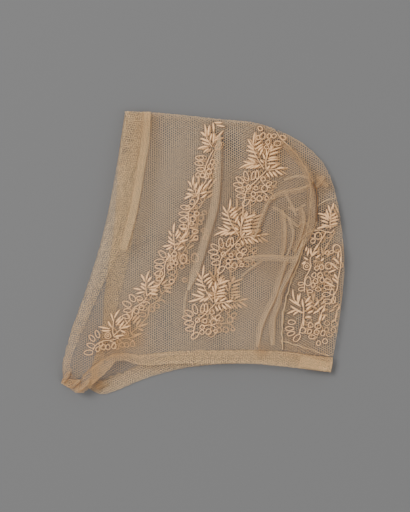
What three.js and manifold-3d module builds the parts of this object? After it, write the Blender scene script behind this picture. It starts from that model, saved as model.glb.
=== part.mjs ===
// A tulle cap that follows the head, laid flat on its far side.
// X runs from the face to the back, Y from the chin to the crown and Z up from the surface it lies on.
// The near half and the far half are one cloth, turned over at the crown and the back, and the cap
// is open at the face and at the neck. All lengths are millimetres.
import * as THREE from "three";
import Module from "manifold-3d";
import { mergeVertices } from "three/addons/utils/BufferGeometryUtils.js";

const wasm = await Module();
wasm.setup();

// The cap laid flat
const CAP_WIDTH = 265;
const CAP_HEIGHT = 264;
const FRONT_HEM_WIDTH = 24.6;
const NECK_HEM_WIDTH = 13.5;
const PANEL_WIDTH = 50.7;
const CROWN_LENGTH = 142;

// Cloth
const NET_THICKNESS = 1;
const HEM_THICKNESS = 1.6;
const SEAM_THICKNESS = 1.8;
const PIECE_GAP = 0.3;

// How the near half stands over the far half
const FOLD_HEIGHT = 3.4;
const FOLD_ROUND = 4;
const SHOULDER_HEIGHT = 6.4;
const LOFT_HEIGHT = 15;
const MOUTH_HEIGHT = 9;
const LOFT_RUN = 70;
const CHIN_DROOP = 26;

// Folds and gathers in the near half
const CREASE_HEIGHT = 1.8;
const CREASE_REACH = 5.5;
const GATHER_HEIGHT = 1.6;
const GATHER_REACH = 62;
const GATHER_COUNT = 9;
const GATHER_FROM = 0.05;
const GATHER_TO = 0.5;

// The folded edge from the crown's front corner round the back to the nape,
// x a share of CAP_WIDTH from the front and y a share of CAP_HEIGHT from the chin
const OUTLINE = [
  { x: 0.232, y: 0.996 },
  { x: 0.319, y: 0.993 },
  { x: 0.425, y: 0.984 },
  { x: 0.572, y: 0.968 },
  { x: 0.677, y: 0.958 },
  { x: 0.747, y: 0.938 },
  { x: 0.804, y: 0.914 },
  { x: 0.846, y: 0.891 },
  { x: 0.881, y: 0.863 },
  { x: 0.911, y: 0.835 },
  { x: 0.933, y: 0.803 },
  { x: 0.953, y: 0.761 },
  { x: 0.97, y: 0.704 },
  { x: 0.981, y: 0.651 },
  { x: 0.989, y: 0.592 },
  { x: 0.996, y: 0.532 },
  { x: 1.0, y: 0.472 },
  { x: 0.998, y: 0.412 },
  { x: 0.989, y: 0.32 },
  { x: 0.979, y: 0.246 },
  { x: 0.97, y: 0.19 },
  { x: 0.96, y: 0.134 },
  { x: 0.951, y: 0.079 },
];

// The face edge from the crown towards the chin, with hem a share of FRONT_HEM_WIDTH
const FACE_NEAR = [
  { x: 0.218, y: 0.894, hem: 1.0 },
  { x: 0.2, y: 0.782, hem: 0.98 },
  { x: 0.179, y: 0.669, hem: 0.85 },
  { x: 0.154, y: 0.556, hem: 0.77 },
  { x: 0.121, y: 0.444, hem: 0.62 },
  { x: 0.082, y: 0.331, hem: 0.49 },
  { x: 0.051, y: 0.246, hem: 0.45 },
  { x: 0.026, y: 0.162, hem: 0.32 },
  { x: 0.012, y: 0.106, hem: 0.32 },
];
const FACE_FAR = [
  { x: 0.216, y: 0.894, hem: 1.02 },
  { x: 0.205, y: 0.782, hem: 0.98 },
  { x: 0.198, y: 0.669, hem: 0.87 },
  { x: 0.189, y: 0.556, hem: 0.75 },
  { x: 0.172, y: 0.444, hem: 0.68 },
  { x: 0.156, y: 0.331, hem: 0.57 },
  { x: 0.153, y: 0.246, hem: 0.4 },
  { x: 0.133, y: 0.162, hem: 0.34 },
  { x: 0.118, y: 0.12, hem: 0.34 },
];

// The neck edge from the nape to the chin, with hem a share of NECK_HEM_WIDTH. The third row is
// where the gather seam meets the hem, and the last two rows are the chin corner.
const NECK_NEAR = [
  { x: 0.951, y: 0.079, hem: 1.08 },
  { x: 0.863, y: 0.092, hem: 1.03 },
  { x: 0.779, y: 0.101, hem: 1.06 },
  { x: 0.688, y: 0.11, hem: 0.97 },
  { x: 0.582, y: 0.111, hem: 0.95 },
  { x: 0.477, y: 0.111, hem: 0.94 },
  { x: 0.372, y: 0.11, hem: 0.83 },
  { x: 0.291, y: 0.104, hem: 0.79 },
  { x: 0.249, y: 0.114, hem: 0.67 },
  { x: 0.205, y: 0.125, hem: 0.52 },
  { x: 0.192, y: 0.108, hem: 0.76 },
  { x: 0.161, y: 0.074, hem: 0.97 },
  { x: 0.138, y: 0.055, hem: 0.97 },
  { x: 0.112, y: 0.028, hem: 0.97 },
  { x: 0.074, y: 0.002, hem: 1.0 },
  { x: 0.038, y: 0.023, hem: 0.76 },
  { x: 0.005, y: 0.04, hem: 0.45 },
];
const NECK_FAR = [
  { x: 0.951, y: 0.079, hem: 1.08 },
  { x: 0.863, y: 0.092, hem: 1.03 },
  { x: 0.779, y: 0.101, hem: 1.06 },
  { x: 0.688, y: 0.11, hem: 0.97 },
  { x: 0.6, y: 0.109, hem: 0.97 },
  { x: 0.512, y: 0.103, hem: 0.97 },
  { x: 0.446, y: 0.095, hem: 1.0 },
  { x: 0.382, y: 0.081, hem: 1.03 },
  { x: 0.326, y: 0.065, hem: 1.03 },
  { x: 0.274, y: 0.046, hem: 1.0 },
  { x: 0.228, y: 0.026, hem: 1.03 },
  { x: 0.189, y: 0.011, hem: 1.07 },
  { x: 0.158, y: 0.0, hem: 0.97 },
  { x: 0.133, y: 0.005, hem: 0.9 },
  { x: 0.109, y: 0.019, hem: 0.83 },
  { x: 0.089, y: 0.032, hem: 0.62 },
];
const SEAM_ROW = 2;

// The back panel's width, a share of PANEL_WIDTH measured square to the folded edge,
// at a share of that edge's length between the crown and the nape
const PANEL = [
  { at: 0.018, near: 0.11, far: 0.11 },
  { at: 0.063, near: 0.16, far: 0.16 },
  { at: 0.15, near: 0.26, far: 0.26 },
  { at: 0.236, near: 0.33, far: 0.34 },
  { at: 0.319, near: 0.33, far: 0.42 },
  { at: 0.389, near: 0.37, far: 0.5 },
  { at: 0.451, near: 0.44, far: 0.57 },
  { at: 0.48, near: 0.49, far: 0.62 },
  { at: 0.503, near: 0.63, far: 0.65 },
  { at: 0.528, near: 0.74, far: 0.69 },
  { at: 0.611, near: 0.82, far: 0.8 },
  { at: 0.662, near: 0.89, far: 0.87 },
  { at: 0.71, near: 0.97, far: 0.93 },
  { at: 0.767, near: 1.0, far: 0.99 },
  { at: 0.842, near: 1.04, far: 1.01 },
  { at: 0.915, near: 1.02, far: 1.0 },
];

// Folds that stand up from the near half: three points in shares of the cap's width and height,
// height a share of CREASE_HEIGHT and reach, to either side, a share of CREASE_REACH
const CREASES = [
  { x1: 0.56, y1: 0.93, x2: 0.566, y2: 0.7, x3: 0.455, y3: 0.33, height: 1.0, reach: 1.0 },
  { x1: 0.8, y1: 0.49, x2: 0.74, y2: 0.34, x3: 0.7, y3: 0.16, height: 1.0, reach: 1.0 },
  { x1: 0.65, y1: 0.475, x2: 0.72, y2: 0.483, x3: 0.825, y3: 0.482, height: 0.7, reach: 0.8 },
  { x1: 0.78, y1: 0.63, x2: 0.772, y2: 0.55, x3: 0.768, y3: 0.49, height: 0.8, reach: 0.8 },
  { x1: 0.805, y1: 0.45, x2: 0.77, y2: 0.34, x3: 0.75, y3: 0.18, height: 0.7, reach: 0.9 },
  { x1: 0.61, y1: 0.28, x2: 0.68, y2: 0.36, x3: 0.755, y3: 0.42, height: 0.6, reach: 1.2 },
  { x1: 0.685, y1: 0.6, x2: 0.737, y2: 0.67, x3: 0.78, y3: 0.71, height: 0.6, reach: 1.1 },
];

// Grid: how many steps each piece takes
const NET_COLUMNS = 28;
const NET_TOP_ROWS = 2;
const NET_LOWER_ROWS = 10;
const FAR_ROWS = 7;
const PANEL_COLUMNS = 18;
const PANEL_ROWS = 4;
const HEM_COLUMNS = 3;
const FRONT_ROWS = 20;
const NECK_ROWS = 32;
const SEAM_STEP = 7;
const SEAM_SIDES = 6;
const TURN_STEPS = [0.13, 0.5, 1];

const NEAR = 1;
const FAR = -1;
const SMALL = 0.02;

const plan = (row) => new THREE.Vector3((row.x - 0.5) * CAP_WIDTH, (row.y - 0.5) * CAP_HEIGHT, 0);

function smooth(points) {
  const curve = new THREE.CatmullRomCurve3(points, false, "centripetal");
  curve.arcLengthDivisions = 30 * points.length;
  return curve;
}

// The unit vector square to a curve's direction, to its right as it is travelled
function rightOf(direction) {
  return new THREE.Vector3(direction.y, -direction.x, 0).normalize();
}

// Part of a curve between two shares of its length, drawn on straight beyond its ends
function stretch(curve, from, to) {
  const length = (to - from) * curve.getLength();
  return (share) => {
    const inside = THREE.MathUtils.clamp(share, 0, 1);
    const at = THREE.MathUtils.clamp(from + (to - from) * inside, 0, 1);
    return curve.getPointAt(at).addScaledVector(curve.getTangentAt(at), (share - inside) * length);
  };
}

const straight = (a, b) => (share) => a.clone().lerp(b, share);

// The share of a curve's length at one of the points that it was drawn through
function shareAtPoint(curve, index) {
  const steps = curve.arcLengthDivisions * (curve.points.length - 1);
  const lengths = curve.getLengths(steps);
  return lengths[index * curve.arcLengthDivisions] / lengths[steps];
}

// The folded edge and the places on it, as shares of its length
const fold = smooth(OUTLINE.map(plan));
const foldLength = fold.getLength();
const foldAtHem = FRONT_HEM_WIDTH / foldLength;
const foldAtTip = CROWN_LENGTH / foldLength;
const foldAtNeck = 1 - (NECK_HEM_WIDTH * NECK_NEAR[0].hem) / foldLength;

// Seam and hem edges of one half of the cap, in plan
function halfEdges(faceRows, neckRows, side) {
  const neckLow = smooth(neckRows.map(plan));
  const neckTop = smooth(
    neckRows.map((row, i) => {
      const inward = rightOf(neckLow.getTangent(i / (neckRows.length - 1)));
      return plan(row).addScaledVector(inward, NECK_HEM_WIDTH * row.hem);
    }),
  );
  neckTop.points[0] = fold.getPointAt(foldAtNeck);
  neckTop.updateArcLengths();
  const neckAtSeam = shareAtPoint(neckTop, SEAM_ROW);
  const neckAtCorner = shareAtPoint(neckTop, neckRows.length - 2);

  const faceEdge = smooth([fold.getPointAt(0), ...faceRows.map(plan), neckTop.getPointAt(1)]);
  const hemEdge = smooth([
    fold.getPointAt(foldAtHem),
    ...faceRows.map((row, i) => {
      const outward = rightOf(faceEdge.getTangent((i + 1) / (faceRows.length + 1)));
      return plan(row).addScaledVector(outward, -FRONT_HEM_WIDTH * row.hem);
    }),
    neckTop.getPointAt(neckAtCorner),
  ]);

  const seam = smooth([
    fold.getPointAt(foldAtTip),
    ...PANEL.map((row) => {
      const share = foldAtTip + (foldAtNeck - foldAtTip) * row.at;
      const inward = rightOf(fold.getTangentAt(share));
      const width = PANEL_WIDTH * (side === NEAR ? row.near : row.far);
      return fold.getPointAt(share).addScaledVector(inward, width);
    }),
    neckTop.getPointAt(neckAtSeam),
  ]);
  return { neckLow, neckTop, neckAtSeam, neckAtCorner, faceEdge, hemEdge, seam };
}

const edges = {
  [NEAR]: halfEdges(FACE_NEAR, NECK_NEAR, NEAR),
  [FAR]: halfEdges(FACE_FAR, NECK_FAR, FAR),
};

// Where a point of the plan lies nearest to a line of points: its distance and its share of the line
function nearest(line, x, y) {
  let best = { distance: Infinity, share: 0 };
  for (let i = 1; i < line.length; i += 1) {
    const a = line[i - 1];
    const b = line[i];
    const dx = b.x - a.x;
    const dy = b.y - a.y;
    const along = ((x - a.x) * dx + (y - a.y) * dy) / (dx * dx + dy * dy);
    const t = THREE.MathUtils.clamp(along, 0, 1);
    const distance = Math.hypot(x - a.x - t * dx, y - a.y - t * dy);
    if (distance < best.distance) best = { distance, share: (i - 1 + t) / (line.length - 1) };
  }
  return best;
}

const foldLine = fold.getSpacedPoints(6 * OUTLINE.length);
const mouthLine = [
  ...edges[NEAR].faceEdge.getSpacedPoints(4 * FACE_NEAR.length),
  ...edges[NEAR].neckLow.getSpacedPoints(4 * NECK_NEAR.length).reverse(),
];
const chin = plan(NECK_NEAR[NECK_NEAR.length - 1]);
const creaseLines = CREASES.map((row) => ({
  row,
  points: smooth([
    plan({ x: row.x1, y: row.y1 }),
    plan({ x: row.x2, y: row.y2 }),
    plan({ x: row.x3, y: row.y3 }),
  ]).getSpacedPoints(8),
}));

// From 0 to 1 as a quarter of an ellipse, and from 0 to 1 with a level end
const quarterRound = (t) => Math.sqrt(1 - (1 - Math.min(t, 1)) ** 2);
const levelOff = (t) => Math.min(t, 1) * (2 - Math.min(t, 1));

function creaseHeight(x, y) {
  let height = 0;
  for (const { row, points } of creaseLines) {
    const { distance, share } = nearest(points, x, y);
    const reach = CREASE_REACH * row.reach;
    if (distance < reach) {
      const across = Math.cos((Math.PI / 2) * (distance / reach)) ** 2;
      const along = levelOff(3 * Math.min(share, 1 - share));
      height = Math.max(height, CREASE_HEIGHT * row.height * across * along);
    }
  }
  return height;
}

// The height of the middle of the cloth over the surface that the cap lies on
function clothHeight(x, y, side, half) {
  const inFromFold = nearest(foldLine, x, y).distance;
  const turn = quarterRound(inFromFold / FOLD_ROUND);
  if (side === FAR) return FOLD_HEIGHT + (half - FOLD_HEIGHT) * turn;
  const atMouth = (MOUTH_HEIGHT - SHOULDER_HEIGHT) / (LOFT_HEIGHT - SHOULDER_HEIGHT);
  const inFromMouth = levelOff(nearest(mouthLine, x, y).distance / LOFT_RUN);
  const loft = levelOff(inFromFold / LOFT_RUN) * (atMouth + (1 - atMouth) * inFromMouth);
  const height =
    FOLD_HEIGHT +
    (SHOULDER_HEIGHT - FOLD_HEIGHT) * turn +
    (LOFT_HEIGHT - SHOULDER_HEIGHT) * loft +
    creaseHeight(x, y) * turn;
  const fromChin = levelOff(Math.hypot(x - chin.x, y - chin.y) / CHIN_DROOP);
  return half + (height - half) * fromChin;
}

// A point in the middle of the cloth, and the direction that faces out of the cap there
function clothPoint(at, side, half) {
  const { distance, share } = nearest(foldLine, at.x, at.y);
  const point = new THREE.Vector3(at.x, at.y, clothHeight(at.x, at.y, side, half));
  if (distance < SMALL) {
    return { point, out: rightOf(fold.getTangentAt(THREE.MathUtils.clamp(share, 0, 1))).negate() };
  }
  const step = SMALL / 2;
  const height = (dx, dy) => clothHeight(at.x + dx, at.y + dy, side, half);
  const slopeX = (height(step, 0) - height(-step, 0)) / (2 * step);
  const slopeY = (height(0, step) - height(0, -step)) / (2 * step);
  const out = new THREE.Vector3(-slopeX, -slopeY, 1).normalize().multiplyScalar(side);
  return { point, out };
}

// A patch of cloth in plan between four edges: along, the folded edge, and free run with u,
// and start and end run with v from the folded edge to the free one.
function patch({ along, free, start, end }) {
  const corner = (u, v) => (v ? free(u) : along(u));
  return (u, v) => {
    const point = along(u).multiplyScalar(1 - v).addScaledVector(free(u), v);
    point.addScaledVector(start(v), 1 - u).addScaledVector(end(v), u);
    point.addScaledVector(corner(0, 0), -(1 - u) * (1 - v)).addScaledVector(corner(1, 0), -u * (1 - v));
    return point.addScaledVector(corner(0, 1), -(1 - u) * v).addScaledVector(corner(1, 1), -u * v);
  };
}

// A closed body through rings of equally many points. Each end is closed by a strip
// between the first half of its ring and the second half.
function loft(rings) {
  const count = rings[0].length;
  const positions = rings.flat().flatMap((p) => [p.x, p.y, p.z]);
  const index = [];
  for (let r = 0; r + 1 < rings.length; r += 1) {
    for (let i = 0; i < count; i += 1) {
      const a = r * count + i;
      const b = r * count + ((i + 1) % count);
      index.push(a, b, a + count, b, b + count, a + count);
    }
  }
  const last = (rings.length - 1) * count;
  for (let i = 0; i + 1 < count / 2; i += 1) {
    const [a, b, c, d] = [i, i + 1, count - 2 - i, count - 1 - i];
    index.push(a, d, b, b, d, c);
    index.push(last + a, last + b, last + d, last + b, last + c, last + d);
  }
  const geometry = new THREE.BufferGeometry();
  geometry.setAttribute("position", new THREE.Float32BufferAttribute(positions, 3));
  geometry.setIndex(index);
  return turnedOut(mergeVertices(geometry));
}

// The geometry with its faces pointing out, told by the sign of its volume
function turnedOut(geometry) {
  const position = geometry.getAttribute("position");
  const index = geometry.getIndex();
  const [a, b, c] = [new THREE.Vector3(), new THREE.Vector3(), new THREE.Vector3()];
  let volume = 0;
  for (let i = 0; i < index.count; i += 3) {
    a.fromBufferAttribute(position, index.getX(i));
    b.fromBufferAttribute(position, index.getX(i + 1));
    c.fromBufferAttribute(position, index.getX(i + 2));
    volume += a.dot(b.cross(c));
  }
  if (volume < 0) index.array.reverse();
  geometry.computeVertexNormals();
  return geometry;
}

// A wall of cloth over the far patch, round the fold and over the near patch.
// trims are the distances kept clear at u 0, at u 1 and at the free edge, nearRows and farRows the
// steps in v beyond the turn at the fold, and lift an added height that depends on u and v.
// grow makes the body larger all round, for the room that it needs among its neighbours.
function foldedCloth({ patches, thickness, columns, nearRows, farRows, trims, lift = () => 0 }, grow = 0) {
  const half = thickness / 2;
  const ring = (side, row) => {
    const at = patches[side];
    const outer = [];
    const inner = [];
    for (let i = 0; i <= columns; i += 1) {
      const across = i / columns;
      const depth = at(across, 1).distanceTo(at(across, 0));
      const turnShare = Math.min(FOLD_ROUND / depth, 0.5);
      const down = turnShare * Math.min(row, 1) + (1 - turnShare) * Math.max(row - 1, 0);
      const v = down * (1 - (trims.free - grow) / depth);
      const width = at(1, v).distanceTo(at(0, v));
      const from = (trims.start - grow) / width;
      const to = 1 - (trims.end - grow) / width;
      const u = from + across * (to - from);
      const { point, out } = clothPoint(at(u, v), side, half);
      if (side === NEAR) point.z += lift(u, v);
      outer.push(point.clone().addScaledVector(out, half + grow));
      inner.push(point.clone().addScaledVector(out, -half - grow));
    }
    return [...outer, ...inner.reverse()];
  };
  const rows = (steps) => [...TURN_STEPS, ...steps.map((step) => 1 + step)];
  return loft([
    ...rows(farRows).reverse().map((row) => ring(FAR, row)),
    ring(NEAR, 0),
    ...rows(nearRows).map((row) => ring(NEAR, row)),
  ]);
}

function solidOf(geometry) {
  const merged = geometry.clone();
  merged.deleteAttribute("normal");
  const { position } = mergeVertices(merged).attributes;
  const mesh = new wasm.Mesh({
    numProp: 3,
    vertProperties: new Float32Array(position.array),
    triVerts: new Uint32Array(mergeVertices(merged).index.array),
  });
  mesh.merge();
  return new wasm.Manifold(mesh);
}

// The largest body that is left of a piece once its neighbours' room is cut from it
function cutBack(geometry, ...rooms) {
  const cut = rooms.reduce((solid, room) => solid.subtract(solidOf(room)), solidOf(geometry));
  const [body] = cut.decompose().sort((a, b) => b.volume() - a.volume());
  const mesh = body.getMesh();
  const result = new THREE.BufferGeometry();
  result.setAttribute("position", new THREE.BufferAttribute(mesh.vertProperties, 3));
  result.setIndex(new THREE.BufferAttribute(mesh.triVerts, 1));
  result.computeVertexNormals();
  return result;
}

const evenSteps = (count, from = 0, to = 1) =>
  Array.from({ length: count }, (_, i) => from + ((to - from) * (i + 1)) / count);

// Two halves of a patch from a function that gives the four edges of one half
const bothHalves = (fourEdges) => ({
  [NEAR]: patch(fourEdges(edges[NEAR])),
  [FAR]: patch(fourEdges(edges[FAR])),
});

const EDGE_TRIM = PIECE_GAP / 2;

// The doubled hem round the neck, from one chin corner round the nape to the other
const neckHemCloth = {
  patches: bothHalves(({ neckLow, neckTop }) => ({
    along: stretch(fold, foldAtNeck, 1),
    free: straight(neckTop.getPointAt(1), neckLow.getPointAt(1)),
    start: stretch(neckTop, 0, 1),
    end: stretch(neckLow, 0, 1),
  })),
  thickness: HEM_THICKNESS,
  columns: HEM_COLUMNS,
  nearRows: evenSteps(NECK_ROWS),
  farRows: evenSteps(NECK_ROWS),
  trims: { start: EDGE_TRIM, end: 0, free: 0 },
};
const neckHem = foldedCloth(neckHemCloth);
const neckHemRoom = foldedCloth(neckHemCloth, PIECE_GAP);

// The doubled hem round the face
const frontHemCloth = {
  patches: bothHalves(({ neckTop, neckAtCorner, faceEdge, hemEdge }) => ({
    along: stretch(fold, 0, foldAtHem),
    free: stretch(neckTop, 1, neckAtCorner),
    start: stretch(faceEdge, 0, 1),
    end: stretch(hemEdge, 0, 1),
  })),
  thickness: HEM_THICKNESS,
  columns: HEM_COLUMNS,
  nearRows: evenSteps(FRONT_ROWS),
  farRows: evenSteps(FRONT_ROWS),
  trims: { start: 0, end: EDGE_TRIM, free: EDGE_TRIM },
};
const frontHem = cutBack(foldedCloth(frontHemCloth), neckHemRoom);
const frontHemRoom = foldedCloth(frontHemCloth, PIECE_GAP);

// The rolled seam, from the near side of the neck over the crown to the far side
function seamRoute(side) {
  const { seam } = edges[side];
  const along = stretch(seam, 0, 1);
  const length = seam.getLength();
  const count = Math.round((length - FOLD_ROUND) / SEAM_STEP);
  const distances = [
    ...TURN_STEPS.map((step) => step * FOLD_ROUND),
    ...evenSteps(count, FOLD_ROUND, length),
  ];
  return distances.map((d) => clothPoint(along(d / length), side, SEAM_THICKNESS / 2));
}

function sweptSeam(radius) {
  const top = clothPoint(fold.getPointAt(foldAtTip), NEAR, SEAM_THICKNESS / 2);
  const route = [...seamRoute(FAR).reverse(), top, ...seamRoute(NEAR)];
  return loft(
    route.map(({ point, out }, i) => {
      const before = route[Math.max(i - 1, 0)].point;
      const after = route[Math.min(i + 1, route.length - 1)].point;
      const direction = after.clone().sub(before).normalize();
      const across = new THREE.Vector3().crossVectors(direction, out).normalize();
      const up = new THREE.Vector3().crossVectors(across, direction);
      return Array.from({ length: SEAM_SIDES }, (_, k) => {
        const angle = (2 * Math.PI * k) / SEAM_SIDES;
        return point
          .clone()
          .addScaledVector(across, radius * Math.cos(angle))
          .addScaledVector(up, radius * Math.sin(angle));
      });
    }),
  );
}
const gatherSeam = cutBack(sweptSeam(SEAM_THICKNESS / 2), neckHemRoom);
const seamRoom = sweptSeam(SEAM_THICKNESS / 2 + PIECE_GAP / Math.cos(Math.PI / SEAM_SIDES));

// The main piece of tulle, over the head from one side of the neck to the other.
// It is gathered into the seam along the upper part of the back.
function gatherLift(u, v) {
  const along = (v - GATHER_FROM) / (GATHER_TO - GATHER_FROM);
  if (along <= 0 || along >= 1) return 0;
  const wave = 2 * Math.abs(((along * GATHER_COUNT) % 1) - 0.5);
  const fromSeam = (1 - u) / (GATHER_REACH / CAP_WIDTH);
  if (fromSeam >= 1) return 0;
  return -GATHER_HEIGHT * wave * Math.sin(Math.PI * Math.sqrt(fromSeam)) * levelOff(4 * along);
}

const sideNetCloth = {
  patches: bothHalves(({ neckTop, neckAtCorner, neckAtSeam, hemEdge, seam }) => ({
    along: stretch(fold, foldAtHem, foldAtTip),
    free: stretch(neckTop, neckAtCorner, neckAtSeam),
    start: stretch(hemEdge, 0, 1),
    end: stretch(seam, 0, 1),
  })),
  thickness: NET_THICKNESS,
  columns: NET_COLUMNS,
  nearRows: [
    ...evenSteps(NET_TOP_ROWS, 0, GATHER_FROM),
    ...evenSteps(2 * GATHER_COUNT, GATHER_FROM, GATHER_TO),
    ...evenSteps(NET_LOWER_ROWS, GATHER_TO, 1),
  ],
  farRows: [...evenSteps(NET_TOP_ROWS, 0, GATHER_FROM), ...evenSteps(FAR_ROWS, GATHER_FROM, 1)],
  trims: { start: EDGE_TRIM, end: EDGE_TRIM, free: EDGE_TRIM },
  lift: gatherLift,
};
const sideNet = cutBack(foldedCloth(sideNetCloth), neckHemRoom, frontHemRoom, seamRoom);

// The piece of tulle at the back of the head, folded at the centre back
const backPanelCloth = {
  patches: bothHalves(({ neckTop, neckAtSeam, seam }) => ({
    along: stretch(fold, foldAtTip, foldAtNeck),
    free: stretch(seam, shareAtPoint(seam, 1), 1),
    start: straight(fold.getPointAt(foldAtTip), seam.points[1]),
    end: stretch(neckTop, 0, neckAtSeam),
  })),
  thickness: NET_THICKNESS,
  columns: PANEL_COLUMNS,
  nearRows: evenSteps(PANEL_ROWS),
  farRows: evenSteps(PANEL_ROWS),
  trims: { start: EDGE_TRIM, end: EDGE_TRIM, free: EDGE_TRIM },
};
const backPanel = cutBack(foldedCloth(backPanelCloth), neckHemRoom, seamRoom);

const cap = new THREE.Group();

function addPiece(name, geometry, color, roughness) {
  const material = new THREE.MeshStandardMaterial({ color, roughness, metalness: 0 });
  const mesh = new THREE.Mesh(geometry, material);
  mesh.name = name;
  cap.add(mesh);
}

addPiece("side_net", sideNet, "#b39c80", 0.9);
addPiece("back_panel", backPanel, "#ab967b", 0.9);
addPiece("front_hem", frontHem, "#b79a7a", 0.9);
addPiece("neck_hem", neckHem, "#bca085", 0.9);
addPiece("gather_seam", gatherSeam, "#c4ab8a", 0.85);

// The origin is under the middle of the cap, on the surface that it lies on
const box = new THREE.Box3().setFromObject(cap);
const middle = box.getCenter(new THREE.Vector3());
cap.position.set(-middle.x, -middle.y, -box.min.z);

export default cap;
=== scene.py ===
import math
import random

import bmesh
import bpy
from mathutils import Matrix, Vector, noise
from mathutils.bvhtree import BVHTree
from mathutils.kdtree import KDTree


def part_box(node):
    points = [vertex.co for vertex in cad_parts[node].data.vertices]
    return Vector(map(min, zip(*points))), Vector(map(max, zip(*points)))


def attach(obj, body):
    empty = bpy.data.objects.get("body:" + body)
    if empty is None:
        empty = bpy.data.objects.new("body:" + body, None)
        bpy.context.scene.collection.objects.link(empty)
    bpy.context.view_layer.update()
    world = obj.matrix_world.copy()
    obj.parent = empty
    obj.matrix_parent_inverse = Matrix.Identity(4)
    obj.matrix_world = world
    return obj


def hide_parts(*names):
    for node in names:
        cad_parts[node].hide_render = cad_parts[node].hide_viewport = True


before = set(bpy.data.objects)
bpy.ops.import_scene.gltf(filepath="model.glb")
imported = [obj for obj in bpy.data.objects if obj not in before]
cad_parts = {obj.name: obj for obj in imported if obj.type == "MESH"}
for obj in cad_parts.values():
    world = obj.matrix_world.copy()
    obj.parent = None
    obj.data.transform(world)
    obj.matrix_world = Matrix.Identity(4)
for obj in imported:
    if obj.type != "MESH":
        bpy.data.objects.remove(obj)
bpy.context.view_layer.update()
random.seed(7)
noise.seed_set(7)

# The cap as it was photographed: laid flat on a table and seen from straight above.
# The photograph is 410 by 512 pixels, and places that were read from it are given in its pixels.
PHOTO_WIDTH = 410
PHOTO_HEIGHT = 512
PIXEL = 0.9297e-3
CAP_MIDDLE_PX = Vector((202.5, 252.75))
FOLDED_EDGE_HEIGHT = 3.4e-3
LENS_MM = 120
FILM_MM = 36
SEEN_TO = 20

photo_middle = Vector(
    (
        (PHOTO_WIDTH / 2 - CAP_MIDDLE_PX.x) * PIXEL,
        (CAP_MIDDLE_PX.y - PHOTO_HEIGHT / 2) * PIXEL,
        FOLDED_EDGE_HEIGHT,
    )
)
lens_height = PHOTO_HEIGHT * PIXEL * LENS_MM / FILM_MM
camera = bpy.data.objects.new("photograph", bpy.data.cameras.new("photograph"))
camera.data.lens = LENS_MM
camera.data.sensor_width = FILM_MM
camera.data.clip_end = SEEN_TO
camera.location = photo_middle + Vector((0, 0, lens_height))
bpy.context.collection.objects.link(camera)
bpy.context.scene.camera = camera

# The main piece is cotton tulle, a net of six-sided holes with its wales up and down the cap. It
# lies in two layers, turned over at the crown, and is the colour of weak tea with browner stains.
# Its edges are caught in the hems and the gather seam.
HOLE_WIDTH = 2.25e-3
NET_THREAD = 0.34e-3
UNEVEN = 0.26e-3
WANDER = 0.7e-3
WANDER_OVER = 22e-3
WALES_UP = math.pi / 2
SETTLING = 6
SETTLING_SHARE = 0.5
RIM_HALVINGS = 7
SIDE_NET_SOLID = 1.0e-3
# The upper layer is NEAR. The two are told apart by their height, and all is upper at the chin.
NEAR = 1
FAR = -1
UPPER_LAYER_FROM = 2.2e-3
CHIN_CORNER_TO = -0.1085
# The turned-over net at the crown: how far in and which way from its edge, and how it lies
EDGE_BAND = Vector((0.35, 0.94)) * 4.2e-3
CROWN_PLY_TURN = 0.3
CROWN_PLY_LIFT = 0.4e-3


class Laid:
    """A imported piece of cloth, with the middle of its upper and of its lower layer"""

    def __init__(self, name, thickness):
        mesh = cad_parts[name].data
        points = [v.co for v in mesh.vertices]
        self.tree = BVHTree.FromPolygons(points, [p.vertices for p in mesh.polygons])
        self.half = thickness / 2
        self.low, self.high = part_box(name)

    def middle(self, side, x, y):
        """The middle of one layer at this point, or None beside the cloth"""
        place, normal, _, _ = self.tree.ray_cast(Vector((x, y, side)), Vector((0, 0, -side)))
        if place is None:
            return None
        if side == NEAR and place.z < UPPER_LAYER_FROM and x > CHIN_CORNER_TO:
            return None
        if side == FAR and (place.z > UPPER_LAYER_FROM or x < CHIN_CORNER_TO):
            return None
        return place - normal * self.half

    def rim(self, side, inside, outside):
        """The last of the cloth on the way from a place on it to a place off it"""
        on, off = inside.copy(), outside.copy()
        for _ in range(RIM_HALVINGS):
            between = (on + off) / 2
            if self.middle(side, between.x, between.y) is None:
                off = between
            else:
                on = between
        return self.middle(side, on.x, on.y)

    def ends_before(self, x, y):
        """Whether neither layer reaches this point"""
        return self.middle(NEAR, x, y) is None and self.middle(FAR, x, y) is None


def wandered(x, y, seed):
    """Pulled about a little, as an old net is"""
    pull = noise.noise_vector(Vector((x / WANDER_OVER, y / WANDER_OVER, seed)))
    return Vector((x + pull.x * WANDER, y + pull.y * WANDER, 0))


def grid_steps(bm, columns, rows):
    """A grid of threads: the column and the row of each crossing"""
    grid = bmesh.ops.create_grid(bm, x_segments=columns, y_segments=rows, size=0.5)
    steps = {}
    for v in grid["verts"]:
        steps[v] = (round((v.co.x + 0.5) * columns), round((v.co.y + 0.5) * rows))
    return steps


def open_holes(bm, steps):
    """Every other upright taken out of a grid, which leaves six-sided holes"""
    spare = []
    for v, (i, j) in steps.items():
        if (i + j) % 2:
            spare += [e for e in v.link_edges if steps[e.other_vert(v)] == (i, j + 1)]
    bmesh.ops.dissolve_edges(bm, edges=spare, use_verts=False)


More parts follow.
